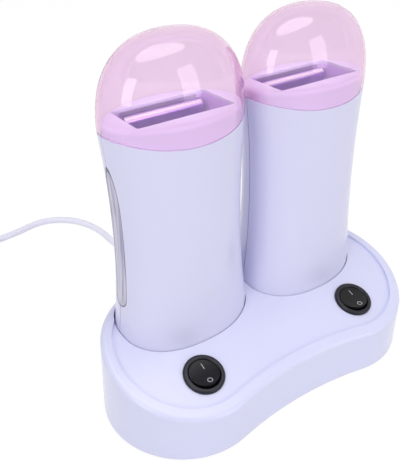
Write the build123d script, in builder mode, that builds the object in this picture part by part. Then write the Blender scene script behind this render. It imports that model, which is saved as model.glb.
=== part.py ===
"""Double wax warmer: two hand-held roll-on wax heaters standing in one switched base.

Millimetres, +Z up. The origin is on the table, in the middle of the base's foot line.
+Y points to the back, where the mains lead leaves. -Y is the front, where the switches are.
Heater and switch pieces are drawn in frames of their own and then set in place, right and left.
"""

import os
from math import atan2, cos, degrees, pi, radians, sin, tan

from build123d import *

os.makedirs("parts", exist_ok=True)

# Base outline at its foot line: two round lobes, a hollow front and a flat back
LOBE_X = 54.5
LOBE_Y = -3.25
LOBE_RADIUS = 46.0
FRONT_MIDDLE_Y = -43.75
BACK_Y = 49.25
JOIN_ANGLE = 45.0
WALL = 2.6
DRAFT = 1.6
EDGE_Z = 1.0

# Deck: slopes down to the front, level behind the heaters, with a raised rim round it
ROW_Y = 17.25
ROW_Z = 47.7
SLOPE = 18.3
CREST_Y = ROW_Y - 4.0
CREST_RADIUS = 60.0
RIM_RISE = 1.6
RIM_WIDTH = 6.5
RIM_ROUND = 3.0

# Heaters: oval bodies, drawn in at the waist, leaning back a little in their sockets
HEATER_X = 42.0
LEAN = 2.5
FOOT_DEPTH = 20.0
DECK_HEIGHT = 117.5
CASING_WALL = 1.9
# height, half width, half depth, fullness of the oval (2 is an ellipse)
CASING_SECTIONS = (
    (0.0, 40.3, 24.65, 2.25),
    (22.5, 37.5, 24.80, 2.20),
    (45.0, 36.2, 24.95, 2.15),
    (67.5, 36.1, 25.10, 2.10),
    (90.0, 37.2, 25.25, 2.04),
    (112.5, 39.3, 25.36, 2.00),
    (120.0, 39.9, 25.38, 2.00),
)
FOOT_OVAL = CASING_SECTIONS[0][1:]
RIM_END_HEIGHT = 112.5
RIM_MIDDLE_HEIGHT = 106.0
SEAM_WIDTH = 0.5
SEAM_DEPTH = 0.35

# Cap: a thin clear dome that slips over the collar
CAP_HALF_WIDTH = 39.3
CAP_HALF_DEPTH = 25.36
CAP_WALL = 1.4
CAP_RISE = 42.5
CAP_FULLNESS = 2.46
CAP_GAP = 0.2

# Top deck with its slot and collar
COLLAR_LOW = 100.0
COLLAR_WALL = 1.3
COLLAR_GAP = 0.1
DECK_THICKNESS = 1.6
DECK_ROUND = 2.5
SLOT_LENGTH = 54.0
SLOT_WIDTH = 26.4
SLOT_ROUND = 1.0

# Chamber: the cartridge tube under the slot, with a pocket for the heating plate
TUBE_WALL = 1.5
TUBE_FLOOR = 10.0
POCKET_WIDTH = 45.0
POCKET_BACK = 16.0
POCKET_ROUND = 2.5
POST_X = 22.0
FOOT_POST_RADIUS = 3.2

# Window strip in the outer end of each heater
WINDOW_HALF_WIDTH = 5.3
WINDOW_LOW = 16.0
WINDOW_SHOULDER = 72.0
WINDOW_TIP = 97.0

# Heating plate: bent sheet with its top rolled over, on a pin near the chamber floor
PLATE_SHEET = 1.2
PLATE_WIDTH = 44.0
PLATE_FACE = 6.8
PLATE_LOW = 13.0
PLATE_TOP = 114.7
PLATE_ROLL = 3.0
PLATE_LIP = 11.6
HINGE_HEIGHT = 18.0
HINGE_Y = 10.6
HINGE_PIN_RADIUS = 1.5
KNUCKLE_RADIUS = 2.6
KNUCKLE_LENGTH = 8.0
ELEMENT_THICKNESS = 2.4
SPRING_RADIUS = 2.2
SPRING_LENGTH = 3.5
SPRING_END = 21.0
FIT = 0.05

# Round rocker switches on the slope
SWITCH_X = 55.5
SWITCH_DOWN_SLOPE = 43.8
SWITCH_BODY_RADIUS = 9.9
SWITCH_DEPTH = 13.0
BEZEL_RADIUS = 11.5
BEZEL_HEIGHT = 2.0
RECESS_RADIUS = 8.7
RECESS_DEPTH = 5.6
ROCKER_RADIUS = 8.4
ROCKER_END = 2.4
ROCKER_MIDDLE = 1.3
ROCKER_LOW = -3.4
ROCKER_PIVOT = 0.4
ROCKER_TILT = 9.0
AXLE_RADIUS = 1.0

# Sockets and contacts
SOCKET_GAP = 0.4
SOCKET_WALL = 2.2
SOCKET_FLOOR = 2.4
SEAT_GAP = 0.1
PIN_X = 8.0
PIN_RADIUS = 2.0
SLEEVE_RADIUS = 3.4

# Mains lead
CORD_RADIUS = 2.5
CORD_HEIGHT = 9.0
GRIP_LENGTH = 22.0
COIL_X = -150.0
COIL_INNER_RADIUS = 21.0
COIL_STEP = 6.6
COIL_LAYER = 5.6
COIL_HALF_TURNS = 5
TAIL_LENGTH = 28.0
PLUG_LENGTH = 36.0
PLUG_WIDTH = 35.3
PLUG_PIN_SPACING = 18.6
PLUG_PIN_RADIUS = 2.0
PLUG_PIN_LENGTH = 19.0
PIN_CORE_RADIUS = 1.5
PIN_SLEEVE_RADIUS = 1.9
PIN_SLEEVE_LENGTH = 10.0

seat = Plane(
    origin=(HEATER_X, ROW_Y, ROW_Z),
    x_dir=(1, 0, 0),
    z_dir=(0, sin(radians(LEAN)), cos(radians(LEAN))),
)
deck_seat = Plane(
    origin=(
        SWITCH_X,
        ROW_Y - SWITCH_DOWN_SLOPE * cos(radians(SLOPE)),
        ROW_Z - SWITCH_DOWN_SLOPE * sin(radians(SLOPE)),
    ),
    x_dir=(1, 0, 0),
    z_dir=(0, -sin(radians(SLOPE)), cos(radians(SLOPE))),
)


def save(piece, name):
    """Label a finished piece and write its STEP file."""
    piece.label = name
    export_step(piece, f"parts/{name}.step")


def save_pair(piece, place, name):
    """Set a piece in place on the right, mirror it to the left and write both."""
    right_piece = place.location * piece
    save(right_piece, f"right_{name}")
    save(mirror(right_piece, about=Plane.YZ), f"left_{name}")


def base_outline(inset):
    """The base's outline, all its arcs drawn in by the inset."""
    front_span = LOBE_Y - FRONT_MIDDLE_Y
    front_radius = (front_span**2 + LOBE_X**2 - LOBE_RADIUS**2) / (2 * (LOBE_RADIUS - front_span))
    front_y = FRONT_MIDDLE_Y - front_radius
    front_end = degrees(atan2(LOBE_Y - front_y, LOBE_X))
    lobe_start = front_end - 180
    join_y = LOBE_Y + LOBE_RADIUS * sin(radians(JOIN_ANGLE))
    corner_radius = (BACK_Y - join_y) / (1 - sin(radians(JOIN_ANGLE)))
    corner_x = LOBE_X - (corner_radius - LOBE_RADIUS) * cos(radians(JOIN_ANGLE))
    corner_y = BACK_Y - corner_radius
    with BuildSketch() as outline:
        with BuildLine():
            CenterArc((0, front_y), front_radius + inset, 90, front_end - 90)
            CenterArc((LOBE_X, LOBE_Y), LOBE_RADIUS - inset, lobe_start, JOIN_ANGLE - lobe_start)
            CenterArc((corner_x, corner_y), corner_radius - inset, JOIN_ANGLE, 90 - JOIN_ANGLE)
            Line((corner_x, BACK_Y - inset), (0, BACK_Y - inset))
            mirror(about=Plane.YZ)
        make_face()
    return outline.sketch


def under_deck(lift):
    """All that lies under the deck, or under a surface lifted above it."""
    far = 110.0
    crest_z = ROW_Z + (CREST_Y - ROW_Y) * tan(radians(SLOPE)) + lift
    level_y = CREST_Y + CREST_RADIUS * sin(radians(SLOPE))
    level_z = crest_z + CREST_RADIUS * (1 - cos(radians(SLOPE)))
    front_z = crest_z - (CREST_Y + far) * tan(radians(SLOPE))
    with BuildPart() as region:
        with BuildSketch(Plane.YZ):
            with BuildLine():
                slope_line = Line((-far, front_z), (CREST_Y, crest_z))
                TangentArc((CREST_Y, crest_z), (level_y, level_z), tangent=slope_line % 1)
                Polyline((level_y, level_z), (far, level_z), (far, -far), (-far, -far), (-far, front_z))
            make_face()
        extrude(amount=120, both=True)
    return region.part


def outline_block(inset, low):
    """The base's drafted block, drawn in by an inset, from the low height up."""
    outline = base_outline(inset)
    with BuildPart() as block:
        with BuildSketch(Plane.XY.offset(low)):
            add(outline)
        extrude(amount=60, taper=DRAFT)
    return block.part


def oval(half_width, half_depth, fullness):
    """Points of an oval, fuller than an ellipse where the fullness is over 2."""
    points = []
    for step in range(24):
        across = cos(pi * step / 12)
        along = sin(pi * step / 12)
        x = half_width * abs(across) ** (2 / fullness) * (1 if across > 0 else -1)
        y = half_depth * abs(along) ** (2 / fullness) * (1 if along > 0 else -1)
        points.append((x, y))
    return points


def casing_form(inset):
    """The heater's outer form above its socket mouth, drawn in by an inset."""
    with BuildPart() as form:
        for height, half_width, half_depth, fullness in CASING_SECTIONS:
            with BuildSketch(Plane.XY.offset(height)):
                with BuildLine():
                    Spline(*oval(half_width - inset, half_depth - inset, fullness), periodic=True)
                make_face()
        loft()
    return form.part


def foot_oval(inset, low, high):
    """An upright oval block with the outline of the heater's foot."""
    half_width, half_depth, fullness = FOOT_OVAL
    with BuildPart() as block:
        with BuildSketch(Plane.XY.offset(low)):
            with BuildLine():
                Spline(*oval(half_width - inset, half_depth - inset, fullness), periodic=True)
            make_face()
        extrude(amount=high - low, dir=(0, 0, 1))
    return block.part


def above_rim(lift):
    """All that lies above the curved line where cap and casing meet."""
    sag = RIM_END_HEIGHT - RIM_MIDDLE_HEIGHT
    rim_radius = (CAP_HALF_WIDTH**2 + sag**2) / (2 * sag)
    far = 50.0
    middle = RIM_MIDDLE_HEIGHT + lift
    end = middle + rim_radius - (rim_radius**2 - far**2) ** 0.5
    with BuildPart() as region:
        with BuildSketch(Plane.XZ):
            with BuildLine():
                ThreePointArc((-far, end), (0, middle), (far, end))
                Polyline((far, end), (far, 200), (-far, 200), (-far, end))
            make_face()
        extrude(amount=50, both=True)
    return region.part


def window_prism(inset):
    """The window's outline, run out along X from the heater's axis."""
    half_width = WINDOW_HALF_WIDTH - inset
    low = WINDOW_LOW + WINDOW_HALF_WIDTH
    rise = WINDOW_TIP - WINDOW_SHOULDER - inset
    with BuildPart() as prism:
        with BuildSketch(Plane.YZ):
            with BuildLine():
                CenterArc((0, low), half_width, 180, 180)
                Line((half_width, low), (half_width, WINDOW_SHOULDER))
                EllipticalCenterArc((0, WINDOW_SHOULDER), half_width, rise, start_angle=0, arc_size=180)
                Line((-half_width, WINDOW_SHOULDER), (-half_width, low))
            make_face()
        extrude(amount=60, dir=(1, 0, 0))
    return prism.part


# Base shell: drafted wall, rounded rim, dished deck, two socket wells, switch holes, screw posts
SCREW_POSTS = ((86.0, -8.0), (-86.0, -8.0), (66.0, 36.0), (-66.0, 36.0), (0.0, -32.0))
POST_RADIUS = 3.6
PILOT_RADIUS = 1.3
COVER_Z = EDGE_Z + 0.4
COVER_THICKNESS = 2.2
COVER_TOP = COVER_Z + COVER_THICKNESS
GRIP_NECK_RADIUS = 4.0

shell_block = outline_block(0, EDGE_Z)
deck_block = outline_block(RIM_WIDTH, 10)
hollow_block = outline_block(WALL, EDGE_Z)
rim_region = under_deck(RIM_RISE)
deck_region = under_deck(0)
skin_region = under_deck(-WALL)
well_low = -FOOT_DEPTH - SEAT_GAP
right_well = seat.location * foot_oval(-SOCKET_GAP, well_low, 40)
left_well = mirror(right_well, about=Plane.YZ)
right_well_wall = seat.location * foot_oval(-SOCKET_GAP - SOCKET_WALL, well_low - SOCKET_FLOOR, 40)
left_well_wall = mirror(right_well_wall, about=Plane.YZ)

with BuildPart() as dish:
    add(deck_block)
    add(deck_region, mode=Mode.SUBTRACT)

with BuildPart() as hollow:
    add(hollow_block)
    add(skin_region, mode=Mode.INTERSECT)

with BuildPart() as inside:
    add(right_well_wall)
    add(left_well_wall)
    with BuildSketch(Plane.XY.offset(COVER_TOP)):
        with Locations(*SCREW_POSTS):
            Circle(POST_RADIUS)
    extrude(amount=60)
    add(deck_region, mode=Mode.INTERSECT)
    with BuildSketch(Plane.XY.offset(COVER_TOP)):
        with Locations(*SCREW_POSTS):
            Circle(PILOT_RADIUS)
    extrude(amount=14, mode=Mode.SUBTRACT)

with BuildPart() as openings:
    with BuildSketch(deck_seat):
        Circle(SWITCH_BODY_RADIUS + 0.1)
    extrude(amount=20, both=True)
    mirror(about=Plane.YZ)
    with BuildSketch(seat.offset(well_low - SOCKET_FLOOR - 1)):
        with Locations((PIN_X, 0), (-PIN_X, 0)):
            Circle(SLEEVE_RADIUS)
    extrude(amount=SOCKET_FLOOR + 2)
    mirror(about=Plane.YZ)
    with BuildSketch(Plane.XZ.offset(-BACK_Y + 6)):
        with Locations((0, CORD_HEIGHT)):
            Circle(GRIP_NECK_RADIUS + 0.1)
    extrude(amount=-10)

with BuildPart() as base_shell:
    add(shell_block)
    add(rim_region, mode=Mode.INTERSECT)
    rim_edges = base_shell.edges().filter_by(
        lambda edge: edge.bounding_box().min.Z > 20
        and not (abs(edge.center().X) < 1 and CREST_Y - 1 < edge.center().Y < BACK_Y - 5)
    )
    fillet(rim_edges, radius=RIM_ROUND)
    add(dish.part, mode=Mode.SUBTRACT)
    add(hollow.part, mode=Mode.SUBTRACT)
    add(inside.part)
    add(right_well, mode=Mode.SUBTRACT)
    add(left_well, mode=Mode.SUBTRACT)
    add(openings.part, mode=Mode.SUBTRACT)
save(base_shell.part, "base_shell")

# Base cover: the plate that closes the shell, with vents, feet seats and countersunk screw holes
FOOT_SEATS = ((72.0, -26.0), (-72.0, -26.0), (48.0, 36.0), (-48.0, 36.0))
FOOT_PAD_RADIUS = 6.0
SCREW_HEAD_RADIUS = 2.9
SCREW_RADIUS = 1.5
cover_block = base_outline(WALL + 0.3)

with BuildPart() as base_cover:
    with BuildSketch(Plane.XY.offset(COVER_Z)):
        add(cover_block)
        with GridLocations(9, 0, 9, 1):
            SlotOverall(26, 3, rotation=90, mode=Mode.SUBTRACT)
        with Locations(*SCREW_POSTS):
            Circle(SCREW_RADIUS + 0.15, mode=Mode.SUBTRACT)
    extrude(amount=COVER_THICKNESS)
    with BuildSketch(Plane.XY.offset(COVER_Z)):
        with Locations(*SCREW_POSTS):
            Circle(SCREW_HEAD_RADIUS + 0.15)
    extrude(amount=1.2, mode=Mode.SUBTRACT)
    with BuildSketch(Plane.XY.offset(COVER_Z)):
        with Locations(*FOOT_SEATS):
            Circle(FOOT_PAD_RADIUS + 0.05)
    extrude(amount=0.6, mode=Mode.SUBTRACT)
save(base_cover.part, "base_cover")

with BuildPart() as base_feet:
    with BuildSketch():
        with Locations(*FOOT_SEATS):
            Circle(FOOT_PAD_RADIUS)
    extrude(amount=COVER_Z + 0.6)
    pad_rims = base_feet.edges().filter_by(GeomType.CIRCLE).group_by(Axis.Z)[0]
    chamfer(pad_rims, length=0.5)
save(base_feet.part, "base_feet")

with BuildPart() as cover_screws:
    with BuildSketch(Plane.XY.offset(COVER_Z + 0.2)):
        with Locations(*SCREW_POSTS):
            Circle(SCREW_HEAD_RADIUS)
    extrude(amount=1.0)
    with BuildSketch(Plane.XY.offset(COVER_Z + 0.2)):
        with Locations(*SCREW_POSTS):
            Circle(PILOT_RADIUS)
    extrude(amount=12)
    with BuildSketch(Plane.XY.offset(COVER_Z + 0.2)):
        with Locations(*SCREW_POSTS):
            Rectangle(3.6, 0.8)
            Rectangle(0.8, 3.6)
    extrude(amount=0.6, mode=Mode.SUBTRACT)
save(cover_screws.part, "cover_screws")

# Switch body: round bezel on the deck, recess for the rocker, snap ribs and terminal slots below
with BuildPart() as switch_body:
    with BuildSketch(Plane.XZ):
        with BuildLine():
            Polyline(
                (0, -SWITCH_DEPTH),
                (SWITCH_BODY_RADIUS, -SWITCH_DEPTH),
                (SWITCH_BODY_RADIUS, 0),
                (BEZEL_RADIUS, 0),
                (BEZEL_RADIUS, BEZEL_HEIGHT - 1.2),
            )
            TangentArc(
                (BEZEL_RADIUS, BEZEL_HEIGHT - 1.2),
                (BEZEL_RADIUS - 1.2, BEZEL_HEIGHT),
                tangent=(0, 1),
            )
            Polyline(
                (BEZEL_RADIUS - 1.2, BEZEL_HEIGHT),
                (RECESS_RADIUS + 0.6, BEZEL_HEIGHT),
                (RECESS_RADIUS, BEZEL_HEIGHT - 0.6),
                (RECESS_RADIUS, -RECESS_DEPTH),
                (0, -RECESS_DEPTH),
                (0, -SWITCH_DEPTH),
            )
        make_face()
    revolve(axis=Axis.Z)
    with BuildSketch(Plane.YZ):
        with Locations((0, ROCKER_PIVOT)):
            Circle(AXLE_RADIUS + FIT)
    extrude(amount=SWITCH_BODY_RADIUS - 0.3, both=True, mode=Mode.SUBTRACT)
    with BuildSketch(Plane.XY.offset(-SWITCH_DEPTH)):
        with Locations((0, 5), (0, -5), (5, 0)):
            Rectangle(4.8, 0.9)
    extrude(amount=5, mode=Mode.SUBTRACT)
save_pair(switch_body.part, deck_seat, "switch_body")

with BuildPart() as switch_terminals:
    with BuildSketch(Plane.XY.offset(-SWITCH_DEPTH - 6)):
        with Locations((0, 5), (0, -5), (5, 0)):
            Rectangle(4.7, 0.8)
    extrude(amount=10.5)
save_pair(switch_terminals.part, deck_seat, "switch_terminals")

# Rocker: a slice of a ball about its axle, so that it clears its recess as it tips
with BuildPart() as rocker:
    Sphere(ROCKER_RADIUS)
    with BuildSketch(Plane.YZ):
        with BuildLine():
            ThreePointArc(
                (ROCKER_RADIUS, ROCKER_END), (0, ROCKER_MIDDLE), (-ROCKER_RADIUS, ROCKER_END)
            )
            Polyline(
                (-ROCKER_RADIUS, ROCKER_END),
                (-ROCKER_RADIUS, ROCKER_LOW),
                (ROCKER_RADIUS, ROCKER_LOW),
                (ROCKER_RADIUS, ROCKER_END),
            )
        make_face()
    extrude(amount=10, both=True, mode=Mode.INTERSECT)
    with BuildSketch(Plane.YZ):
        Circle(AXLE_RADIUS)
    extrude(amount=SWITCH_BODY_RADIUS - 0.5, both=True)
rocker_seat = deck_seat.offset(ROCKER_PIVOT).rotated((-ROCKER_TILT, 0, 0))
save_pair(rocker.part, rocker_seat, "rocker")

# Contact block and pins: they stand up through each socket floor into the heater's sleeves
block_top = well_low - SOCKET_FLOOR
with BuildPart() as contact_block:
    with BuildSketch(Plane.XY.offset(block_top - 6)):
        RectangleRounded(34, 14, 2)
    extrude(amount=6)
    with BuildSketch(Plane.XY.offset(block_top)):
        with Locations((PIN_X, 0), (-PIN_X, 0)):
            Circle(SLEEVE_RADIUS - 0.1)
    extrude(amount=SOCKET_FLOOR)
    with BuildSketch(Plane.XY.offset(block_top - 6)):
        with Locations((PIN_X, 0), (-PIN_X, 0)):
            Circle(PIN_RADIUS)
    extrude(amount=6 + SOCKET_FLOOR, mode=Mode.SUBTRACT)
save_pair(contact_block.part, seat, "contact_block")

with BuildPart() as contact_pins:
    with BuildSketch(Plane.XY.offset(block_top - 9)):
        with Locations((PIN_X, 0), (-PIN_X, 0)):
            Circle(PIN_RADIUS)
    extrude(amount=9 + SOCKET_FLOOR + 7)
    pin_tips = contact_pins.edges().filter_by(GeomType.CIRCLE).group_by(Axis.Z)[-1]
    chamfer(pin_tips, length=0.8)
save_pair(contact_pins.part, seat, "contact_pins")

# Casing: two half shells, front and rear, that meet in a seam at the narrow ends
FOOT_PLATE = 2.4
casing_low = -FOOT_DEPTH + FOOT_PLATE
outer_form = casing_form(0)
inner_form = casing_form(CASING_WALL)
outer_foot = foot_oval(0, casing_low, 0)
inner_foot = foot_oval(CASING_WALL, casing_low - 1, 0)
rim_cut = above_rim(0)
window_cut = window_prism(0)

with BuildPart() as seam_groove:
    with BuildSketch():
        Rectangle(100, SEAM_WIDTH)
    extrude(amount=130)
    add(casing_form(SEAM_DEPTH), mode=Mode.SUBTRACT)

with BuildPart() as casing:
    add(outer_form)
    add(outer_foot)
    add(inner_form, mode=Mode.SUBTRACT)
    add(inner_foot, mode=Mode.SUBTRACT)
    add(rim_cut, mode=Mode.SUBTRACT)
    add(window_cut, mode=Mode.SUBTRACT)
    add(seam_groove.part, mode=Mode.SUBTRACT)

front_side = Keep.TOP if Plane.XZ.z_dir.Y < 0 else Keep.BOTTOM
rear_side = Keep.BOTTOM if front_side == Keep.TOP else Keep.TOP
with BuildPart() as front_shell:
    add(casing.part)
    split(bisect_by=Plane.XZ, keep=front_side)
with BuildPart() as rear_shell:
    add(casing.part)
    split(bisect_by=Plane.XZ, keep=rear_side)
save_pair(front_shell.part, seat, "front_shell")
save_pair(rear_shell.part, seat, "rear_shell")

# Window: a clear strip set flush in the seam
window_form = casing_form(0.15)
window_face = window_prism(0.1)
with BuildPart() as window:
    add(window_form)
    add(inner_form, mode=Mode.SUBTRACT)
    add(window_face, mode=Mode.INTERSECT)
save_pair(window.part, seat, "window")

# Foot: closes the casing below, with two bores for the contact sleeves
with BuildPart() as heater_foot:
    add(foot_oval(0, -FOOT_DEPTH, casing_low))
    add(foot_oval(CASING_WALL + 0.1, casing_low, casing_low + 5))
    add(foot_oval(CASING_WALL + 1.7, casing_low, casing_low + 6), mode=Mode.SUBTRACT)
    with BuildSketch(Plane.XY.offset(casing_low)):
        with Locations((PIN_X, 0), (-PIN_X, 0)):
            Circle(SLEEVE_RADIUS + 1.4)
    extrude(amount=8)
    with BuildSketch(Plane.XY.offset(-FOOT_DEPTH)):
        with Locations((PIN_X, 0), (-PIN_X, 0)):
            Circle(SLEEVE_RADIUS)
        with Locations((POST_X, 0), (-POST_X, 0)):
            Circle(SCREW_RADIUS + 0.1)
    extrude(amount=12, mode=Mode.SUBTRACT)
    with BuildSketch(Plane.XY.offset(-FOOT_DEPTH)):
        with Locations((POST_X, 0), (-POST_X, 0)):
            Circle(SCREW_HEAD_RADIUS + 0.1)
    extrude(amount=1.2, mode=Mode.SUBTRACT)
save_pair(heater_foot.part, seat, "heater_foot")

with BuildPart() as contact_sleeves:
    with BuildSketch(Plane.XY.offset(-FOOT_DEPTH + 0.2)):
        with Locations((PIN_X, 0), (-PIN_X, 0)):
            Circle(SLEEVE_RADIUS)
            Circle(PIN_RADIUS + FIT, mode=Mode.SUBTRACT)
    extrude(amount=10)
save_pair(contact_sleeves.part, seat, "contact_sleeves")

with BuildPart() as foot_screws:
    with BuildSketch(Plane.XY.offset(-FOOT_DEPTH + 0.2)):
        with Locations((POST_X, 0), (-POST_X, 0)):
            Circle(SCREW_HEAD_RADIUS)
    extrude(amount=1.0)
    with BuildSketch(Plane.XY.offset(-FOOT_DEPTH + 0.2)):
        with Locations((POST_X, 0), (-POST_X, 0)):
            Circle(PILOT_RADIUS)
    extrude(amount=12)
save_pair(foot_screws.part, seat, "foot_screws")

# Top deck: slotted plate with a rounded edge and a collar that sits inside the casing's mouth
tube_half_length = SLOT_LENGTH / 2
deck_under = DECK_HEIGHT - DECK_THICKNESS
DECK_EDGE = [
    (DECK_HEIGHT - DECK_ROUND * (1 - sin(radians(angle))), DECK_ROUND * (1 - cos(radians(angle))))
    for angle in (0.0, 22.5, 45.0, 67.5, 90.0)
]
COLLAR_RINGS = [(COLLAR_LOW, 0.0), (RIM_MIDDLE_HEIGHT, 0.0), (RIM_END_HEIGHT, 0.0)] + DECK_EDGE


def section_at(height):
    """Half width, half depth and fullness of the casing at a height between two of its sections."""
    for low, high in zip(CASING_SECTIONS, CASING_SECTIONS[1:]):
        if low[0] <= height <= high[0]:
            share = (height - low[0]) / (high[0] - low[0])
            return [a + (b - a) * share for a, b in zip(low[1:], high[1:])]


def collar_form(inset, rings):
    """Bands between ovals that follow the casing, each drawn in by the inset and its own step."""
    with BuildPart() as form:
        for height, step in rings:
            half_width, half_depth, fullness = section_at(height)
            drawn_in = inset + step
            with BuildSketch(Plane.XY.offset(height)):
                with BuildLine():
                    Spline(*oval(half_width - drawn_in, half_depth - drawn_in, fullness), periodic=True)
                make_face()
        loft(ruled=True)
    return form.part


collar_outside = collar_form(CASING_WALL + COLLAR_GAP, COLLAR_RINGS)
collar_inside = collar_form(
    CASING_WALL + COLLAR_GAP + COLLAR_WALL,
    [(COLLAR_LOW, 0.0), (RIM_MIDDLE_HEIGHT, 0.0), (RIM_END_HEIGHT, 0.0), (deck_under, 0.0)],
)
with BuildPart() as top_deck:
    add(collar_outside)
    add(collar_inside, mode=Mode.SUBTRACT)
    with BuildSketch(Plane.XY.offset(deck_under - 1)):
        RectangleRounded(SLOT_LENGTH, SLOT_WIDTH, SLOT_ROUND)
    extrude(amount=DECK_THICKNESS + 2, mode=Mode.SUBTRACT)
save_pair(top_deck.part, seat, "top_deck")

# Chamber: cartridge tube with a pocket behind the plate, hinge bores, sight slot and screw posts
with BuildPart() as chamber:
    with BuildSketch(Plane.XY.offset(TUBE_FLOOR - TUBE_WALL)):
        RectangleRounded(SLOT_LENGTH + 2 * TUBE_WALL, SLOT_WIDTH + 2 * TUBE_WALL, SLOT_ROUND + 2 * TUBE_WALL)
        with Locations((0, POCKET_BACK / 2)):
            RectangleRounded(
                POCKET_WIDTH + 2 * TUBE_WALL, POCKET_BACK + 2 * TUBE_WALL, POCKET_ROUND + TUBE_WALL
            )
    extrude(amount=deck_under - TUBE_FLOOR + TUBE_WALL)
    with BuildSketch(Plane.XY.offset(casing_low)):
        with Locations((POST_X, 0), (-POST_X, 0)):
            Circle(FOOT_POST_RADIUS)
    extrude(amount=TUBE_FLOOR - TUBE_WALL - casing_low)
    with BuildSketch(Plane.XY.offset(casing_low)):
        with Locations((POST_X, 0), (-POST_X, 0)):
            Circle(PILOT_RADIUS)
    extrude(amount=14, mode=Mode.SUBTRACT)
    with BuildSketch(Plane.XY.offset(TUBE_FLOOR)):
        RectangleRounded(SLOT_LENGTH, SLOT_WIDTH, SLOT_ROUND)
        with Locations((0, POCKET_BACK / 2)):
            RectangleRounded(POCKET_WIDTH, POCKET_BACK, POCKET_ROUND)
    extrude(amount=DECK_HEIGHT, mode=Mode.SUBTRACT)
    with BuildSketch(Plane.YZ):
        with Locations((HINGE_Y, HINGE_HEIGHT)):
            Circle(HINGE_PIN_RADIUS)
    extrude(amount=40, both=True, mode=Mode.SUBTRACT)
    with BuildSketch(Plane.YZ.offset(tube_half_length - 1)):
        with Locations((-4, (WINDOW_LOW + WINDOW_SHOULDER) / 2 + 8)):
            SlotOverall(WINDOW_SHOULDER - WINDOW_LOW, 6, rotation=90)
    extrude(amount=TUBE_WALL + 2, mode=Mode.SUBTRACT)
save_pair(chamber.part, seat, "chamber")

# Heating plate: bent sheet with its top rolled back over, turning on its pin
with BuildPart() as heating_plate:
    with BuildSketch(Plane.YZ):
        with BuildLine():
            Polyline(
                (PLATE_FACE + PLATE_SHEET, PLATE_LOW),
                (PLATE_FACE, PLATE_LOW),
                (PLATE_FACE, PLATE_TOP - PLATE_ROLL),
            )
            TangentArc(
                (PLATE_FACE, PLATE_TOP - PLATE_ROLL),
                (PLATE_FACE + PLATE_ROLL, PLATE_TOP),
                tangent=(0, 1),
            )
            Polyline(
                (PLATE_FACE + PLATE_ROLL, PLATE_TOP),
                (PLATE_LIP, PLATE_TOP),
                (PLATE_LIP, PLATE_TOP - PLATE_SHEET),
                (PLATE_FACE + PLATE_ROLL, PLATE_TOP - PLATE_SHEET),
            )
            TangentArc(
                (PLATE_FACE + PLATE_ROLL, PLATE_TOP - PLATE_SHEET),
                (PLATE_FACE + PLATE_SHEET, PLATE_TOP - PLATE_ROLL),
                tangent=(-1, 0),
            )
            Line(
                (PLATE_FACE + PLATE_SHEET, PLATE_TOP - PLATE_ROLL),
                (PLATE_FACE + PLATE_SHEET, PLATE_LOW),
            )
        make_face()
    extrude(amount=PLATE_WIDTH / 2, both=True)
    for knuckle_x in (-16.0, 8.0):
        with BuildSketch(Plane.YZ.offset(knuckle_x)):
            with BuildLine():
                Polyline(
                    (PLATE_FACE + PLATE_SHEET / 2, HINGE_HEIGHT - KNUCKLE_RADIUS),
                    (HINGE_Y, HINGE_HEIGHT - KNUCKLE_RADIUS),
                )
                ThreePointArc(
                    (HINGE_Y, HINGE_HEIGHT - KNUCKLE_RADIUS),
                    (HINGE_Y + KNUCKLE_RADIUS, HINGE_HEIGHT),
                    (HINGE_Y, HINGE_HEIGHT + KNUCKLE_RADIUS),
                )
                Polyline(
                    (HINGE_Y, HINGE_HEIGHT + KNUCKLE_RADIUS),
                    (PLATE_FACE + PLATE_SHEET / 2, HINGE_HEIGHT + KNUCKLE_RADIUS),
                    (PLATE_FACE + PLATE_SHEET / 2, HINGE_HEIGHT - KNUCKLE_RADIUS),
                )
            make_face()
        extrude(amount=KNUCKLE_LENGTH)
    with BuildSketch(Plane.YZ):
        with Locations((HINGE_Y, HINGE_HEIGHT)):
            Circle(HINGE_PIN_RADIUS + FIT)
    extrude(amount=30, both=True, mode=Mode.SUBTRACT)
save_pair(heating_plate.part, seat, "heating_plate")

with BuildPart() as heating_element:
    with BuildSketch(Plane.XZ.offset(-PLATE_FACE - PLATE_SHEET)):
        with Locations((0, 62)):
            RectangleRounded(32, 64, 2)
    extrude(amount=-ELEMENT_THICKNESS)
    with BuildSketch(Plane.XZ.offset(-PLATE_FACE - PLATE_SHEET - ELEMENT_THICKNESS)):
        with Locations((0, 62)):
            RectangleRounded(22, 54, 2)
    extrude(amount=-0.6)
save_pair(heating_element.part, seat, "heating_element")

with BuildPart() as plate_pin:
    with BuildSketch(Plane.YZ):
        with Locations((HINGE_Y, HINGE_HEIGHT)):
            Circle(HINGE_PIN_RADIUS)
    extrude(amount=tube_half_length + TUBE_WALL, both=True)
save_pair(plate_pin.part, seat, "plate_pin")

with BuildPart() as plate_springs:
    for spring_x in (-SPRING_END, SPRING_END - SPRING_LENGTH):
        with BuildSketch(Plane.YZ.offset(spring_x)):
            with Locations((HINGE_Y, HINGE_HEIGHT)):
                Circle(SPRING_RADIUS)
                Circle(HINGE_PIN_RADIUS, mode=Mode.SUBTRACT)
        extrude(amount=SPRING_LENGTH)
save_pair(plate_springs.part, seat, "plate_springs")

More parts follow.
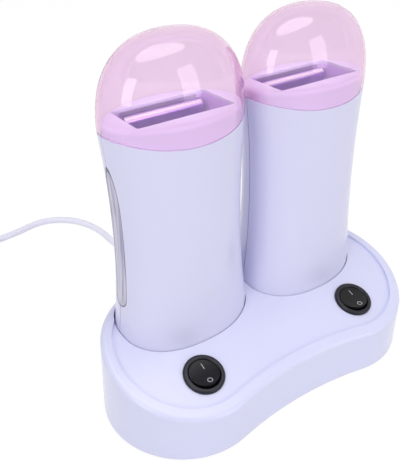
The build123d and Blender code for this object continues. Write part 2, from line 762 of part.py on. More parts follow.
# Cap: a dome with its profile turned about the axis and drawn out to an oval
def dome(half_width, half_depth, rise, low):
    """An oval dome over the cap's base height, with a straight skirt down to the low height."""
    points = []
    for step in range(13):
        turn = pi / 2 * step / 12
        out = cos(turn) ** (2 / CAP_FULLNESS)
        up = sin(turn) ** (2 / CAP_FULLNESS)
        points.append((half_width * out, RIM_END_HEIGHT + rise * up))
    with BuildPart() as form:
        with BuildSketch(Plane.XZ):
            with BuildLine():
                Line((half_width, low), points[0])
                Spline(*points, tangents=((0, 1), (-1, 0)))
                Polyline(points[-1], (0, low), (half_width, low))
            make_face()
        revolve(axis=Axis.Z)
    return scale(form.part, by=(1, half_depth / half_width, 1))


cap_low = RIM_MIDDLE_HEIGHT - 4
cap_outside = dome(CAP_HALF_WIDTH, CAP_HALF_DEPTH, CAP_RISE, cap_low)
cap_inside = dome(
    CAP_HALF_WIDTH - CAP_WALL, CAP_HALF_DEPTH - CAP_WALL, CAP_RISE - CAP_WALL, cap_low - 1
)
cap_region = above_rim(CAP_GAP)
with BuildPart() as cap:
    add(cap_outside)
    add(cap_inside, mode=Mode.SUBTRACT)
    add(cap_region, mode=Mode.INTERSECT)
save_pair(cap.part, seat, "cap")

# Strain relief, lead tail and clamp at the back of the base
grip_start = BACK_Y - 0.2
grip_end = grip_start + GRIP_LENGTH
with BuildPart() as cord_grip:
    with BuildSketch(Plane.XY):
        with BuildLine():
            Polyline(
                (0, BACK_Y - WALL - 2.6),
                (5.2, BACK_Y - WALL - 2.6),
                (5.2, BACK_Y - WALL - 0.6),
                (GRIP_NECK_RADIUS, BACK_Y - WALL - 0.6),
                (GRIP_NECK_RADIUS, grip_start + 0.2),
                (5.4, grip_start + 0.2),
                (5.4, grip_start + 3),
                (3.4, grip_end),
                (0, grip_end),
                (0, BACK_Y - WALL - 2.6),
            )
        make_face()
    revolve(axis=Axis.Y)
    for ring in range(4):
        ring_y = grip_start + 6 + 3.6 * ring
        with BuildSketch(Plane.XZ.offset(-ring_y)):
            Rectangle(20, 20)
            Circle(3.1, mode=Mode.SUBTRACT)
        extrude(amount=-1.2, mode=Mode.SUBTRACT)
cord_grip_part = Location((0, 0, CORD_HEIGHT)) * cord_grip.part
save(cord_grip_part, "cord_grip")

tail_start = BACK_Y - WALL - 2.6
with BuildPart() as cord_tail:
    with BuildSketch(Plane.XZ.offset(-tail_start)):
        with Locations((0, CORD_HEIGHT)):
            Circle(CORD_RADIUS)
    extrude(amount=18)
save(cord_tail.part, "cord_tail")

clamp_y = tail_start - 8
with BuildPart() as cord_clamp:
    with BuildSketch(Plane.XZ.offset(-clamp_y)):
        with Locations((0, (COVER_TOP + CORD_HEIGHT + 5) / 2)):
            Rectangle(24, CORD_HEIGHT + 5 - COVER_TOP)
        with Locations((0, CORD_HEIGHT)):
            Circle(CORD_RADIUS, mode=Mode.SUBTRACT)
    extrude(amount=6)
save(cord_clamp.part, "cord_clamp")

# Lead: straight runs joined by arcs as large as the runs allow
coil_outer_radius = COIL_INNER_RADIUS + COIL_STEP / 2 * COIL_HALF_TURNS
CORD_ROUTE = (
    (0.0, grip_end, CORD_HEIGHT),
    (0.0, 93.0, CORD_HEIGHT),
    (-4.0, 121.0, CORD_RADIUS),
    (-15.5, 150.0, CORD_RADIUS),
    (-15.5, 181.0, CORD_RADIUS),
    (-27.0, 206.0, CORD_RADIUS),
    (-49.0, 218.5, CORD_RADIUS),
    (-76.0, 211.5, CORD_RADIUS),
    (-117.0, 209.5, CORD_RADIUS),
    (COIL_X + 2 * CORD_RADIUS, 209.5, CORD_RADIUS),
)
route = [Vector(*point) for point in CORD_ROUTE]
runs = [(end - start).length for start, end in zip(route, route[1:])]
radii = []
for index in range(1, len(route) - 1):
    run_in = route[index] - route[index - 1]
    run_out = route[index + 1] - route[index]
    turn = radians(run_in.get_angle(run_out))
    radii.append(0.45 * min(run_in.length, run_out.length) / tan(turn / 2))
print("lead radii", [round(radius, 1) for radius in radii])
print("lead runs", [round(run, 1) for run in runs])

with BuildPart() as power_cord:
    with BuildLine() as cord_line:
        FilletPolyline(*route, radius=radii)
    with BuildSketch(Plane(origin=route[0], z_dir=(0, 1, 0))):
        Circle(CORD_RADIUS)
    sweep(path=cord_line.wire())
save(power_cord.part, "power_cord")
cord_length = cord_line.wire().length
cord_fill = power_cord.part.volume / (pi * CORD_RADIUS**2 * cord_length)
print("lead length", round(cord_length, 1), "volume over section times length", round(cord_fill, 4))

# Coil of the put-away length: in on the lower layer, up in one half turn, out on the upper layer
coil_y = CORD_ROUTE[-1][1] - coil_outer_radius
coil_start = Vector(COIL_X, CORD_ROUTE[-1][1], CORD_RADIUS)
half_turn_ends = [coil_start]
for index in range(1, 2 * COIL_HALF_TURNS + 2):
    steps_out = COIL_HALF_TURNS - index if index <= COIL_HALF_TURNS else index - COIL_HALF_TURNS - 1
    radius = COIL_INNER_RADIUS + COIL_STEP / 2 * steps_out
    side_y = radius if index % 2 == 0 else -radius
    layer = 0 if index <= COIL_HALF_TURNS else COIL_LAYER
    half_turn_ends.append(Vector(COIL_X, coil_y + side_y, CORD_RADIUS + layer))

with BuildPart() as cord_coil:
    with BuildLine() as coil_line:
        Line(route[-1], coil_start)
        for index, (start, end) in enumerate(zip(half_turn_ends, half_turn_ends[1:])):
            heading = Vector(-1 if index % 2 == 0 else 1, 0, 0)
            middle = (start + end) / 2 + heading * ((end - start).length / 2)
            TangentArc(start, middle, tangent=heading)
            if index < 2 * COIL_HALF_TURNS:
                TangentArc(middle, end, tangent=end - start)
        coil_end = middle - Vector(0, TAIL_LENGTH, 0)
        Line(middle, coil_end)
    with BuildSketch(Plane(origin=route[-1], z_dir=(-1, 0, 0))):
        Circle(CORD_RADIUS)
    sweep(path=coil_line.wire())
save(cord_coil.part, "cord_coil")
coil_length = coil_line.wire().length
coil_fill = cord_coil.part.volume / (pi * CORD_RADIUS**2 * coil_length)
print("coil length", round(coil_length, 1), "volume over section times length", round(coil_fill, 4))

SAMPLES = 700
coil_points = coil_line.wire().positions([step / SAMPLES for step in range(SAMPLES + 1)])
apart = int(SAMPLES * 60 / coil_length)
least = min(
    (coil_points[i] - coil_points[j]).length
    for i in range(SAMPLES + 1)
    for j in range(i + apart, SAMPLES + 1)
)
print("least gap of the coil to itself", round(least - 2 * CORD_RADIUS, 2))

# Plug: flat moulded two-pin body with a soft sleeve where the lead enters
SLEEVE_LENGTH = 16.0
PLUG_THICKNESS = 13.7
plug_axis_z = PLUG_THICKNESS / 2
sleeve_y = coil_end.Y - SLEEVE_LENGTH
front_y = sleeve_y - PLUG_LENGTH
with BuildPart() as plug_body:
    with BuildSketch(Plane(origin=coil_end, x_dir=(1, 0, 0), z_dir=(0, -1, 0))):
        Circle(CORD_RADIUS + 1.0)
    with BuildSketch(Plane(origin=(coil_end.X, sleeve_y, plug_axis_z), x_dir=(1, 0, 0), z_dir=(0, -1, 0))):
        Ellipse(7.5, 5.2)
    loft()
    with BuildSketch(Plane(origin=(coil_end.X, sleeve_y, plug_axis_z), x_dir=(1, 0, 0), z_dir=(0, -1, 0))):
        RectangleRounded(18, 12, 4)
    with BuildSketch(
        Plane(origin=(coil_end.X, sleeve_y - PLUG_LENGTH / 2, plug_axis_z), x_dir=(1, 0, 0), z_dir=(0, -1, 0))
    ):
        RectangleRounded(PLUG_WIDTH, PLUG_THICKNESS, 4)
    loft(ruled=True)
    with BuildSketch(
        Plane(origin=(coil_end.X, sleeve_y - PLUG_LENGTH / 2, plug_axis_z), x_dir=(1, 0, 0), z_dir=(0, -1, 0))
    ):
        RectangleRounded(PLUG_WIDTH, PLUG_THICKNESS, 4)
    extrude(amount=PLUG_LENGTH / 2)
    front = Plane(origin=(coil_end.X, front_y, plug_axis_z), x_dir=(1, 0, 0), z_dir=(0, -1, 0))
    with BuildSketch(front):
        with Locations((PLUG_PIN_SPACING / 2, 0), (-PLUG_PIN_SPACING / 2, 0)):
            Circle(PIN_SLEEVE_RADIUS)
    extrude(amount=PIN_SLEEVE_LENGTH)
    with BuildSketch(front.offset(-8)):
        with Locations((PLUG_PIN_SPACING / 2, 0), (-PLUG_PIN_SPACING / 2, 0)):
            Circle(PIN_CORE_RADIUS)
    extrude(amount=PIN_SLEEVE_LENGTH + 8, mode=Mode.SUBTRACT)
save(plug_body.part, "plug_body")

with BuildPart() as plug_pins:
    with BuildSketch(front.offset(-8)):
        with Locations((PLUG_PIN_SPACING / 2, 0), (-PLUG_PIN_SPACING / 2, 0)):
            Circle(PIN_CORE_RADIUS)
    extrude(amount=PIN_SLEEVE_LENGTH + 8)
    with BuildSketch(front.offset(PIN_SLEEVE_LENGTH)):
        with Locations((PLUG_PIN_SPACING / 2, 0), (-PLUG_PIN_SPACING / 2, 0)):
            Circle(PLUG_PIN_RADIUS)
    extrude(amount=PLUG_PIN_LENGTH - PIN_SLEEVE_LENGTH)
    tips = plug_pins.edges().filter_by(GeomType.CIRCLE).group_by(Axis.Y)[0]
    fillet(tips, radius=1.4)
save(plug_pins.part, "plug_pins")
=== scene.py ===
"""A double wax warmer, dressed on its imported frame: two hand-held heaters in one switched base."""

from math import asin, atan2, cos, pi, radians, sin, sqrt

import bpy
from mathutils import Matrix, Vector


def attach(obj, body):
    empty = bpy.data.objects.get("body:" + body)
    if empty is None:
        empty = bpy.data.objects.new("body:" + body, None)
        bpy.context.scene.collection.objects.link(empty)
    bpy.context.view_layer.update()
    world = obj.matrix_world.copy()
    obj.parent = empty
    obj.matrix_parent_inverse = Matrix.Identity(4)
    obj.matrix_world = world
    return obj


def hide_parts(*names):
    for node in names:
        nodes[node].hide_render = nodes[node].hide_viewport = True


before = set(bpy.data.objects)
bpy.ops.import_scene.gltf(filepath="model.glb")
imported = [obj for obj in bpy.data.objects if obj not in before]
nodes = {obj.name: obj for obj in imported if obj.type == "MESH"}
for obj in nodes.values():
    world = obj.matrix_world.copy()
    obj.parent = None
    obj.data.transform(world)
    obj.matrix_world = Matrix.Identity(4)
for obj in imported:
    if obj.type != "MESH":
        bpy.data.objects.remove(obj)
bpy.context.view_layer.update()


# Studio: the camera stands where the photograph was taken from, a little left of the front.
# Wide soft lamps and a pale room light the object evenly, and the room itself shows as white.
camera_place = (-0.19488, -0.22125, 0.28122)
camera_down, camera_roll, camera_turn = 0.57708, -0.00326, -0.60407
bpy.ops.object.camera_add(
    location=camera_place, rotation=(pi / 2 - camera_down, camera_roll, camera_turn)
)
camera = bpy.context.object
camera.name = "camera"
camera.data.sensor_width = 36
camera.data.lens = 49.39
camera.data.clip_start = 0.01
bpy.context.scene.camera = camera
bpy.context.scene.view_settings.view_transform = "Standard"


def soft_lamp(name, place, aim, shape, width, height, watts):
    """A studio lamp with a soft screen, which faces the point it is aimed at."""
    bpy.ops.object.light_add(type="AREA", location=place)
    lamp = bpy.context.object
    lamp.name = name
    lamp.data.shape = shape
    lamp.data.size, lamp.data.size_y = width, height
    lamp.data.energy = watts
    lamp.rotation_euler = (Vector(aim) - Vector(place)).to_track_quat("-Z", "Y").to_euler()


soft_lamp("top_lamp", (-0.02, -0.1, 1.3), (0, 0, 0.05), "ELLIPSE", 1.2, 0.75, 5.8)
soft_lamp("left_lamp", (-1.1, -0.5, 0.61), (0, 0, 0.1), "RECTANGLE", 0.48, 0.74, 3.3)
soft_lamp("right_lamp", (0.5, -1.25, 0.6), (0, 0, 0.1), "RECTANGLE", 0.5, 0.95, 3.2)


class Signal:
    """One output of a node, which plain sums and products can be written with."""

    def __init__(self, tree, socket):
        self.tree, self.socket = tree, socket

    def node(self, kind, settings, values, output=0):
        """Adds a node, sets it up, fills its sockets and gives back one of its outputs."""
        added = self.tree.nodes.new(kind)
        for name, setting in settings.items():
            if name == "stops":
                ramp = added.color_ramp.elements
                for index, (place, shade) in enumerate(setting):
                    stop = ramp[index] if index < len(ramp) else ramp.new(place)
                    stop.position, stop.color = place, shade
            else:
                setattr(added, name, setting)
        for name, value in values.items():
            if isinstance(value, Signal):
                self.tree.links.new(value.socket, added.inputs[name])
            else:
                added.inputs[name].default_value = value
        return Signal(self.tree, added.outputs[output])

    def maths(self, operation, first, second):
        """A Math node on two numbers, of which either may be an output."""
        return self.node("ShaderNodeMath", {"operation": operation}, {0: first, 1: second})

    def feeds(self, socket):
        """Links this output to a socket of a shader."""
        self.tree.links.new(self.socket, socket)

    def __add__(self, other):
        return self.maths("ADD", self, other)

    def __sub__(self, other):
        return self.maths("SUBTRACT", self, other)

    def __mul__(self, other):
        return self.maths("MULTIPLY", self, other)

    __radd__ = __add__
    __rmul__ = __mul__

    def __rsub__(self, other):
        return self.maths("SUBTRACT", other, self)


def seen_share(tree):
    """One for what the eye meets, straight, in a gloss or through the clear caps, else nought."""
    ray = tree.nodes.new("ShaderNodeLightPath")
    rays = ("Is Camera Ray", "Is Glossy Ray", "Is Transmission Ray")
    eye, gloss, through = [Signal(tree, ray.outputs[name]) for name in rays]
    return eye.maths("MAXIMUM", eye, eye.maths("MAXIMUM", gloss, through))


room_light = 0.53
world = bpy.data.worlds.new("pale_room")
bpy.context.scene.world = world
world.use_nodes = True
room = world.node_tree
room_strength = room_light + seen_share(room) * (1 - room_light)
room_strength.feeds(room.nodes["Background"].inputs["Strength"])
room.nodes["Background"].inputs["Color"].default_value = (1, 1, 1, 1)


# Table: a plain white top under the whole warmer. What the camera sees of it is mostly its own
# white, with a faint shadow of the base and the lead left in it.
def new_finish(name):
    """An empty material: gives back the material, its shader and its object coordinates."""
    finish = bpy.data.materials.new(name)
    finish.use_nodes = True
    tree = finish.node_tree
    place = tree.nodes.new("ShaderNodeTexCoord").outputs["Object"]
    return finish, tree.nodes["Principled BSDF"], Signal(tree, place)


table_drop, glow_strength, glow_share = 0.0002, 1.08, 0.8
bpy.ops.mesh.primitive_plane_add(size=8, location=(0, 0, -table_drop))
table = bpy.context.object
table.name = "table"
finish, shader, place = new_finish("table_white")
shader.inputs["Base Color"].default_value = (0.93, 0.93, 0.93, 1)
shader.inputs["Roughness"].default_value = 0.9
shader.inputs["Specular IOR Level"].default_value = 0.0
glow = place.node("ShaderNodeEmission", {}, {"Color": (1, 1, 1, 1), "Strength": glow_strength})
painted = Signal(finish.node_tree, shader.outputs[0])
whitening = seen_share(finish.node_tree) * glow_share
whitened = place.node("ShaderNodeMixShader", {}, {0: whitening, 1: painted, 2: glow})
whitened.feeds(finish.node_tree.nodes["Material Output"].inputs["Surface"])
table.data.materials.append(finish)


# Base: one low moulded shell with a sloping deck, of pale lavender plastic from a polished mould. A
# flat cover with a duller skin closes it from below and is screwed to posts inside it.
def linear(shade, strength=1.0):
    """A colour as a screen shows it, made stronger or weaker, turned to the light it stands for."""
    light = []
    for level in shade:
        level *= strength
        light.append(level / 12.92 if level <= 0.04045 else ((level + 0.055) / 1.055) ** 2.4)
    return (*light, 1.0)


def noise(place, scale, detail):
    """A cloudy grain with a given number of clouds to the metre."""
    return place.node("ShaderNodeTexNoise", {}, {"Vector": place, "Scale": scale, "Detail": detail})


def blend(share, first, second):
    """One colour, turned into another by a share from nought to one."""
    return share.node(
        "ShaderNodeMix", {"data_type": "RGBA"}, {0: share, 6: first, 7: second}, output=2
    )


# what is left of a colour under the painted shade in a seam: the painted shade is bluish
painted_groove_shade_share = (0.62, 0.62, 0.72)


def moulded_plastic(
    name, shade, roughness, grain, unevenness=0.015, sheen=0.5, rounding=0.0, painted_groove_shade=None
):
    """Plastic from a mould: a nearly even colour, its gloss and the faint ripple of the mould.

    Its sharp edges look rounded by a small radius, and painted shade darkens a seam where a mask is
    given."""
    finish, shader, place = new_finish(name)
    cloud, speck = noise(place, 30.0, 3.0), noise(place, grain, 4.0)
    colour = blend(cloud, linear(shade, 1 - unevenness), linear(shade))
    # painted shade: the colour is darkened along a seam
    if painted_groove_shade:
        shadow = linear([level * share for level, share in zip(shade, painted_groove_shade_share)])
        colour = blend(painted_groove_shade(place), colour, shadow)
    colour.feeds(shader.inputs["Base Color"])
    (roughness + (speck - 0.5) * 0.08).feeds(shader.inputs["Roughness"])
    skin = {"Strength": 0.15, "Distance": 0.00002, "Height": speck}
    if rounding:
        skin["Normal"] = place.node("ShaderNodeBevel", {"samples": 8}, {"Radius": rounding})
    place.node("ShaderNodeBump", {}, skin).feeds(shader.inputs["Normal"])
    shader.inputs["Specular IOR Level"].default_value = sheen
    return finish


def dress(finish, *names):
    """Gives CAD nodes a finish."""
    for name in names:
        nodes[name].material_slots[0].material = finish


def pair(name):
    """The names of a left piece and of its right twin."""
    return f"left_{name}", f"right_{name}"


dress(moulded_plastic("base_plastic", (0.855, 0.86, 0.968), 0.2, 420.0), "base_shell")
dress(moulded_plastic("base_cover_plastic", (0.84, 0.845, 0.93), 0.5, 900.0), "base_cover")


# Rubber feet: four soft pads of dark rubber, each pressed into a round seat in the cover, so that
# the base does not slide.
def soft_rubber(name, shade):
    """Moulded rubber: dark, dull, with a fine dusty grain."""
    finish, shader, place = new_finish(name)
    dust = noise(place, 1600.0, 5.0)
    blend(dust, linear(shade), linear(shade, 1.25)).feeds(shader.inputs["Base Color"])
    (0.72 + dust * 0.18).feeds(shader.inputs["Roughness"])
    place.node(
        "ShaderNodeBump", {}, {"Strength": 0.4, "Distance": 0.00003, "Height": dust}
    ).feeds(shader.inputs["Normal"])
    return finish


dress(soft_rubber("foot_rubber", (0.2, 0.2, 0.215)), "base_feet")


# Metal fittings: zinc-plated screws, steel pivot pins and springs, tinned brass contacts. Each is
# drawn or turned, so fine marks run round or along it.
# how much less of a mirror the metal is under a painted highlight
painted_highlight_mirror_loss = 0.75


def worked_metal(name, shade, roughness, stretch, depth=0.000004, band=None):
    """Bare metal with fine working marks, drawn out along the axis where the stretch is small.

    A band, where one is given, is a mask and the colour of a painted highlight there, less of a
    mirror."""
    finish, shader, place = new_finish(name)
    drawn = place.node("ShaderNodeMapping", {}, {"Vector": place, "Scale": stretch})
    marks, patina = noise(drawn, 1000.0, 4.0), noise(place, 160.0, 3.0)
    colour = blend(patina, linear(shade, 0.86), linear(shade))
    if band:
        mask, band_shade = band
        # painted highlight: a pale colour and a duller mirror where the mask is
        colour = blend(mask(place), colour, linear(band_shade))
        (1 - mask(place) * painted_highlight_mirror_loss).feeds(shader.inputs["Metallic"])
    colour.feeds(shader.inputs["Base Color"])
    (roughness + (marks - 0.5) * 0.16 + (patina - 0.5) * 0.1).feeds(shader.inputs["Roughness"])
    place.node(
        "ShaderNodeBump", {}, {"Strength": 0.5, "Distance": depth, "Height": marks}
    ).feeds(shader.inputs["Normal"])
    shader.inputs["Metallic"].default_value = 1.0
    return finish


steel = worked_metal("plated_steel", (0.78, 0.78, 0.8), 0.3, (1.0, 1.0, 0.08))
tinned_brass = worked_metal("tinned_brass", (0.86, 0.76, 0.5), 0.28, (1.0, 1.0, 0.1))
dress(steel, "cover_screws", *pair("foot_screws"), *pair("plate_pin"), *pair("plate_springs"))
dress(tinned_brass, *pair("switch_terminals"), *pair("contact_pins"), *pair("contact_sleeves"))


# Switches: a round bezel pressed into its hole from above and a dished rocker on an axle in it.
# Both are moulded in black, and the rocker's top carries a pale bar and ring for on and off.
switch_finish = moulded_plastic(
    "switch_black", (0.07, 0.07, 0.12), 0.34, 1500.0, 0.1, 0.36, rounding=0.0003
)
rocker_finish = moulded_plastic(
    "rocker_black", (0.04, 0.039, 0.048), 0.3, 1300.0, 0.1, 0.26, rounding=0.0003
)
dress(switch_finish, *pair("switch_body"))
dress(rocker_finish, *pair("rocker"))

print_finish = moulded_plastic("pale_print", (0.72, 0.72, 0.74), 0.5, 2500.0, 0.08)
bar_side, bar_reach, bar_size, bar_edge = 0.0016, 0.0039, (0.00042, 0.0035, 0.00016), 0.00006
ring_reach, ring_radius, ring_line, ring_flatness = 0.0054, 0.00132, 0.00022, 0.24
hollow_radius, hollow_low = 0.0326, 0.0013
switch_side, switch_y, switch_z = 0.0555, -0.02446, 0.03433
deck_slope, rocker_tilt = 18.3, 9


def on_hollow(reach):
    """Height and slope of the rocker's hollow top at a distance from its axle."""
    height = hollow_low + hollow_radius - sqrt(hollow_radius**2 - reach**2)
    return height, asin(reach / hollow_radius)


def stand_copy(model, name, place, tilt, finish):
    """A copy of a modelled piece with its own mesh, stood at its place, tilted and finished."""
    bpy.ops.object.select_all(action="DESELECT")
    piece = model.copy()
    piece.data = model.data.copy()
    piece.name = name
    bpy.context.collection.objects.link(piece)
    piece.location = place
    piece.rotation_euler = (radians(tilt), 0, 0)
    piece.select_set(True)
    bpy.context.view_layer.objects.active = piece
    bpy.ops.object.transform_apply(location=True, rotation=True, scale=True)
    piece.data.materials.append(finish)
    return piece


bpy.ops.object.select_all(action="DESELECT")
height, slope = on_hollow(bar_reach)
bpy.ops.mesh.primitive_cube_add(
    size=1, location=(bar_side, bar_reach, height), rotation=(slope, 0, 0)
)
bar = bpy.context.object
bar.scale = bar_size
bpy.ops.object.transform_apply(location=True, rotation=True, scale=True)
bpy.ops.object.mode_set(mode="EDIT")
bpy.ops.mesh.select_all(action="SELECT")
bpy.ops.mesh.bevel(offset=bar_edge, segments=2)
bpy.ops.object.mode_set(mode="OBJECT")
bpy.ops.object.select_all(action="DESELECT")
height, slope = on_hollow(ring_reach)
bpy.ops.mesh.primitive_torus_add(
    major_segments=48, minor_segments=12, major_radius=ring_radius, minor_radius=ring_line,
    location=(0, -ring_reach, height), rotation=(-slope, 0, 0),
)
ring = bpy.context.object
ring.scale = (1, 1, ring_flatness)
bpy.ops.object.transform_apply(location=True, rotation=True, scale=True)
bar.select_set(True)
bpy.context.view_layer.objects.active = bar
bpy.ops.object.join()
bpy.ops.object.shade_smooth_by_angle(angle=radians(50))
for side, name in ((1, "right"), (-1, "left")):
    # the rocker's own frame: on the sloping deck, tipped with its upper end down
    axle = (side * switch_side, switch_y, switch_z)
    marks = stand_copy(bar, f"{name}_switch_marks", axle, deck_slope - rocker_tilt, print_finish)
    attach(marks, f"{name}_switch")
bpy.data.objects.remove(bar)


# Contact blocks: plain pressed blocks under the sockets that carry the brass pins, and the clamp
# that holds the lead inside the base.
inner_finish = moulded_plastic("inner_plastic", (0.87, 0.86, 0.83), 0.55, 1200.0)
dress(inner_finish, *pair("contact_block"), "cord_clamp")


# Heater casings: two thin half shells, front and rear, that meet in a fine seam at the narrow ends,
# closed below by a foot. They are of lavender plastic like the base, with the same polish.
heater_side, seat_y, seat_z, heater_lean = 0.042, 0.01725, 0.0477, 2.5
# the seat's depth and height again, measured along the leaning heater
seat_in_heater = (0, 0.015153, 0.048407)
# width and soft edge of the painted shade along a casing's seam, and how much of it fades at the
# outer end
painted_seam_half_width, painted_seam_blur = 0.00024, 0.00006
outer_end_blur, outer_end_shade_fade = 0.01, 0.75


def in_heater(place):
    """Depth and height of a point in a heater's own frame, which leans back in its socket."""
    stood = place.node(
        "ShaderNodeMapping", {},
        {
            "Vector": place,
            "Location": [-step for step in seat_in_heater],
            "Rotation": (radians(heater_lean), 0, 0),
        },
    )
    return [place.node("ShaderNodeSeparateXYZ", {}, {0: stood}, output=axis) for axis in (1, 2)]


def past(signal, limit, blur):
    """One where a signal is past a limit, nought before it, with a soft edge."""
    return signal.node(
        "ShaderNodeMapRange", {"interpolation_type": "SMOOTHSTEP"},
        {"Value": signal, "From Min": limit - blur / 2, "From Max": limit + blur / 2},
    )


def painted_seam_shade(place):
    """Painted shade along the seam where the two halves of a casing meet, weaker at the window's
    end.
    """
    depth = in_heater(place)[0]
    painted_groove_shade = 1 - past(depth.maths("ABSOLUTE", depth, 0), painted_seam_half_width, painted_seam_blur)
    side = place.node("ShaderNodeSeparateXYZ", {}, {0: place}, output=0)
    outer_end = past(side.maths("ABSOLUTE", side, 0), heater_side, outer_end_blur)
    return painted_groove_shade * (1 - outer_end * outer_end_shade_fade)


# the casings' seams are darkened with painted shade
casing_finish = moulded_plastic(
    "casing_plastic", (0.866, 0.862, 0.97), 0.2, 480.0, painted_groove_shade=painted_seam_shade
)
dress(casing_finish, *pair("front_shell"), *pair("rear_shell"), *pair("heater_foot"))


# Window strips: smoked clear plastic, set flush in the seam at each heater's outer end, with long
# streaks from the flow of the moulding. A painted shadow runs round each edge, where it sits in its
# opening.
window_half_width, window_low, window_shoulder, window_rise = 0.0053, 0.0213, 0.072, 0.025
edge_start, edge_blur, streak_stretch = 0.8, 0.12, 0.03
smoke_dark, smoke_pale, painted_gap_shadow = (0.73, 0.715, 0.84), (0.94, 0.925, 1.0), (0.36, 0.35, 0.45)
finish, shader, place = new_finish("window_smoke")
depth, height = in_heater(place)
foot_share = height.maths("MAXIMUM", window_low - height, 0) * (1 / window_half_width)
tip_share = height.maths("MAXIMUM", height - window_shoulder, 0) * (1 / window_rise)
width_share, end_share = depth * (1 / window_half_width), foot_share + tip_share
# painted shadow of the gap round the window's edge
painted_gap_shadow_share = past(width_share * width_share + end_share * end_share, edge_start, edge_blur)
flow = place.node("ShaderNodeMapping", {}, {"Vector": place, "Scale": (1, 1, streak_stretch)})
streaks = noise(flow, 520.0, 3.0)
smoke = place.node(
    "ShaderNodeValToRGB", {"stops": [(0.34, linear(smoke_dark)), (0.62, linear(smoke_pale))]},
    {"Fac": streaks},
)
blend(painted_gap_shadow_share, smoke, linear(painted_gap_shadow)).feeds(shader.inputs["Base Color"])
(0.08 + streaks * 0.08).feeds(shader.inputs["Roughness"])
shader.inputs["Transmission Weight"].default_value = 0.3
dress(finish, *pair("window"))


# Top deck and chamber: the slotted deck with its rounded edge sits in the casing's mouth, and the
# cartridge tube hangs below it. Both are moulded plastic with a satin skin, the tube more violet.
deck_finish = moulded_plastic("deck_plastic", (0.912, 0.92, 0.995), 0.3, 520.0, rounding=0.0004)
dress(deck_finish, *pair("top_deck"))
dress(moulded_plastic("chamber_plastic", (0.89, 0.79, 1.0), 0.42, 700.0), *pair("chamber"))


# Heating plates: bright sheet, bent over at the top in a rolled edge, with the ribbed element
# clipped to its back. The bare sheet's violet tint is a painted reflection of the chamber round it.
# the back and lower limits of the painted highlight on the rolled edge, with their soft edges
lip_back, lip_back_blur, lip_low, lip_low_blur = 0.0089, 0.0012, 0.1133, 0.0008


def painted_lip_highlight(place):
    """Painted highlight along the front of the rolled edge."""
    depth, height = in_heater(place)
    return (1 - past(depth, lip_back, lip_back_blur)) * past(height, lip_low, lip_low_blur)


# violet base colour: painted reflection of the chamber; band: painted highlight on the rolled edge
bright_sheet = worked_metal(
    "bright_sheet", (0.84, 0.71, 0.98), 0.24, (0.05, 1.0, 1.0), band=(painted_lip_highlight, (0.96, 0.94, 0.96))
)
element_finish = worked_metal("element_grey", (0.74, 0.74, 0.76), 0.45, (1.0, 1.0, 0.1))
dress(bright_sheet, *pair("heating_plate"))
dress(element_finish, *pair("heating_element"))


# Caps: thin domes of clear pink plastic, each moulded in one piece, that stand on the casing's
# curved rim over the collar. Their upper part is fuller than an ellipse.
cap_half_width, cap_half_depth, cap_rise, cap_wall = 0.0393, 0.02536, 0.0425, 0.0014
edge_round, below_equator = 0.0003, -0.001
cap_fullness = 2.46
skirt_top, rim_middle, rim_sag, least_skirt = 0.1125, 0.1062, 0.0065, 0.0006
rim_radius = (cap_half_width**2 + rim_sag**2) / (2 * rim_sag)
skirt_rings = 4
skin_cool, skin_warm = (0.965, 0.952, 0.978), (0.972, 0.96, 0.984)
pink_kept, pink_density = (0.89, 0.2, 0.67, 1), 120.0

cap_finish, shader, place = new_finish("cap_pink")
cloud, rub = noise(place, 45.0, 3.0), noise(place, 800.0, 3.0)
blend(cloud, linear(skin_cool), linear(skin_warm)).feeds(shader.inputs["Base Color"])
(0.02 + rub * 0.02).feeds(shader.inputs["Roughness"])
shader.inputs["Transmission Weight"].default_value = 0.95
shader.inputs["IOR"].default_value = 1.46
# light on its way to the deck passes the cap unbent, less what the pink of the wall takes from it
cap_tree = cap_finish.node_tree
cap_output = cap_tree.nodes["Material Output"]
unbent = place.node("ShaderNodeBsdfTransparent", {}, {"Color": (1, 1, 1, 1)})
shadow_ray = cap_tree.nodes.new("ShaderNodeLightPath")
place.node(
    "ShaderNodeMixShader", {},
    {
        0: Signal(cap_tree, shadow_ray.outputs["Is Shadow Ray"]),
        1: Signal(cap_tree, shader.outputs[0]),
        2: unbent,
    },
).feeds(cap_output.inputs["Surface"])
place.node(
    "ShaderNodeVolumeAbsorption", {}, {"Color": pink_kept, "Density": pink_density}
).feeds(cap_output.inputs["Volume"])

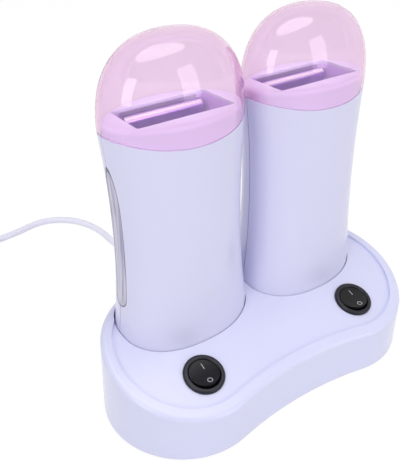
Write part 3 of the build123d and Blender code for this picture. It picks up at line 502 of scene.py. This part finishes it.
bpy.ops.object.select_all(action="DESELECT")
bpy.ops.mesh.primitive_uv_sphere_add(segments=160, ring_count=80, radius=1, location=(0, 0, 0))
dome = bpy.context.object
bpy.ops.object.mode_set(mode="EDIT")
bpy.ops.mesh.select_all(action="DESELECT")
bpy.ops.object.mode_set(mode="OBJECT")
for vertex in dome.data.vertices:
    vertex.select = vertex.co.z < below_equator
bpy.ops.object.mode_set(mode="EDIT")
bpy.ops.mesh.delete(type="VERT")
bpy.ops.mesh.select_all(action="DESELECT")
bpy.ops.mesh.select_non_manifold()
for skirt_ring in range(skirt_rings):
    bpy.ops.mesh.extrude_region_move(TRANSFORM_OT_translate={"value": (0, 0, -1)})
bpy.ops.mesh.select_all(action="SELECT")
bpy.ops.mesh.normals_make_consistent(inside=False)
bpy.ops.object.mode_set(mode="OBJECT")
for vertex in dome.data.vertices:
    around = atan2(vertex.co.y, vertex.co.x)
    rim_height = rim_middle + rim_radius - sqrt(rim_radius**2 - (cap_half_width * cos(around)) ** 2)
    join_height = max(skirt_top, rim_height + least_skirt)
    if vertex.co.z > below_equator:
        climb = asin(min(1.0, max(0.0, vertex.co.z)))
        out, up = cos(climb) ** (2 / cap_fullness), sin(climb) ** (2 / cap_fullness)
        height = join_height + (skirt_top + cap_rise - join_height) * up
    else:
        out = 1.0
        height = join_height + (rim_height - join_height) * -vertex.co.z / skirt_rings
    vertex.co = (cap_half_width * out * cos(around), cap_half_depth * out * sin(around), height)
wall = dome.modifiers.new("wall", "SOLIDIFY")
wall.thickness, wall.offset, wall.use_even_offset = cap_wall, -1, True
edge = dome.modifiers.new("rim_edge", "BEVEL")
edge.width, edge.segments = edge_round, 3
edge.limit_method, edge.angle_limit = "ANGLE", radians(45)
bpy.ops.object.modifier_apply(modifier="wall")
bpy.ops.object.modifier_apply(modifier="rim_edge")
bpy.ops.object.shade_smooth_by_angle(angle=radians(40))
for side, name in ((1, "right"), (-1, "left")):
    # the heater's own frame: in its socket, leaning back
    seat = (side * heater_side, seat_y, seat_z)
    cap = stand_copy(dome, f"{name}_cap_dome", seat, -heater_lean, cap_finish)
    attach(cap, f"{name}_lid")
    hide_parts(f"{name}_cap")
bpy.data.objects.remove(dome)


# Mains lead: round, softly flexible, sheathed in pale plastic. It leaves the back of the base, lies
# on the table in one loose curve and goes out of the picture on the left, where the length that is
# put away lies in a coil of two layers, wound inwards below and outwards above.
lead_radius, exit_height = 0.0025, 0.009
lead_route = [(0.0, 0.07105, exit_height), (0.0, 0.093, exit_height)]
for x, y in (
    (-0.004, 0.121), (-0.0155, 0.150), (-0.0155, 0.181), (-0.027, 0.206),
    (-0.049, 0.2185), (-0.076, 0.2115), (-0.117, 0.2095), (-0.145, 0.2095),
):
    lead_route.append((x, y, lead_radius))
coil_x, coil_y, coil_outside, coil_inside, half_turn_step = -0.150, 0.172, 0.0375, 0.021, 0.0033
upper_layer, plug_x = 0.0081, -0.18585
half_turns, crossing, knots_a_half_turn = 11, 5, 8
# a curve drawn with few knots runs a little inside them, so they stand a little further out
knot_share = 0.981
for half_turn in range(half_turns):
    # a half turn starts at the far end on even counts and at the near end on odd ones
    side = 1 if half_turn % 2 == 0 else -1
    if half_turn <= crossing:
        start_out, low = coil_outside - half_turn_step * half_turn, lead_radius
    else:
        start_out, low = coil_inside + half_turn_step * (half_turn - crossing - 1), upper_layer
    if half_turn < crossing:
        end_out, high = coil_outside - half_turn_step * (half_turn + 1), lead_radius
    else:
        end_out, high = coil_inside + half_turn_step * (half_turn - crossing), upper_layer
    middle_y = coil_y + side * (start_out - end_out) / 2
    reach = (start_out + end_out) / 2 / knot_share
    last = half_turn == half_turns - 1
    for step in range(knots_a_half_turn // 2 + 1 if last else knots_a_half_turn):
        turn = pi * step / knots_a_half_turn
        x, y = coil_x - side * reach * sin(turn), middle_y + side * reach * cos(turn)
        lead_route.append((x, y, low + (high - low) * step / knots_a_half_turn))
lead_route += [(plug_x, 0.158, upper_layer), (plug_x, 0.14235, upper_layer)]

line = bpy.data.curves.new("power_lead", "CURVE")
line.dimensions = "3D"
line.bevel_depth = lead_radius
line.bevel_resolution = 5
line.resolution_u = 8
line.use_fill_caps = True
run = line.splines.new("NURBS")
run.points.add(len(lead_route) - 1)
for knot, point in zip(run.points, lead_route):
    knot.co = (*point, 1)
run.order_u = 3
run.use_endpoint_u = True
lead = bpy.data.objects.new("power_lead", line)
bpy.context.collection.objects.link(lead)
lead_finish = moulded_plastic("lead_sheath", (0.93, 0.925, 0.985), 0.42, 900.0)
line.materials.append(lead_finish)
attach(lead, "base")
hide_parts("power_cord", "cord_coil")


# Plug, strain relief and the lead's end inside the base: the soft parts are moulded on to the
# sheath, and the plug's two round pins are nickel-plated.
dress(lead_finish, "cord_grip", "cord_tail")
dress(moulded_plastic("plug_plastic", (0.9, 0.895, 0.95), 0.36, 1100.0), "plug_body")
dress(worked_metal("nickel_pins", (0.82, 0.8, 0.76), 0.22, (1.0, 0.06, 1.0)), "plug_pins")
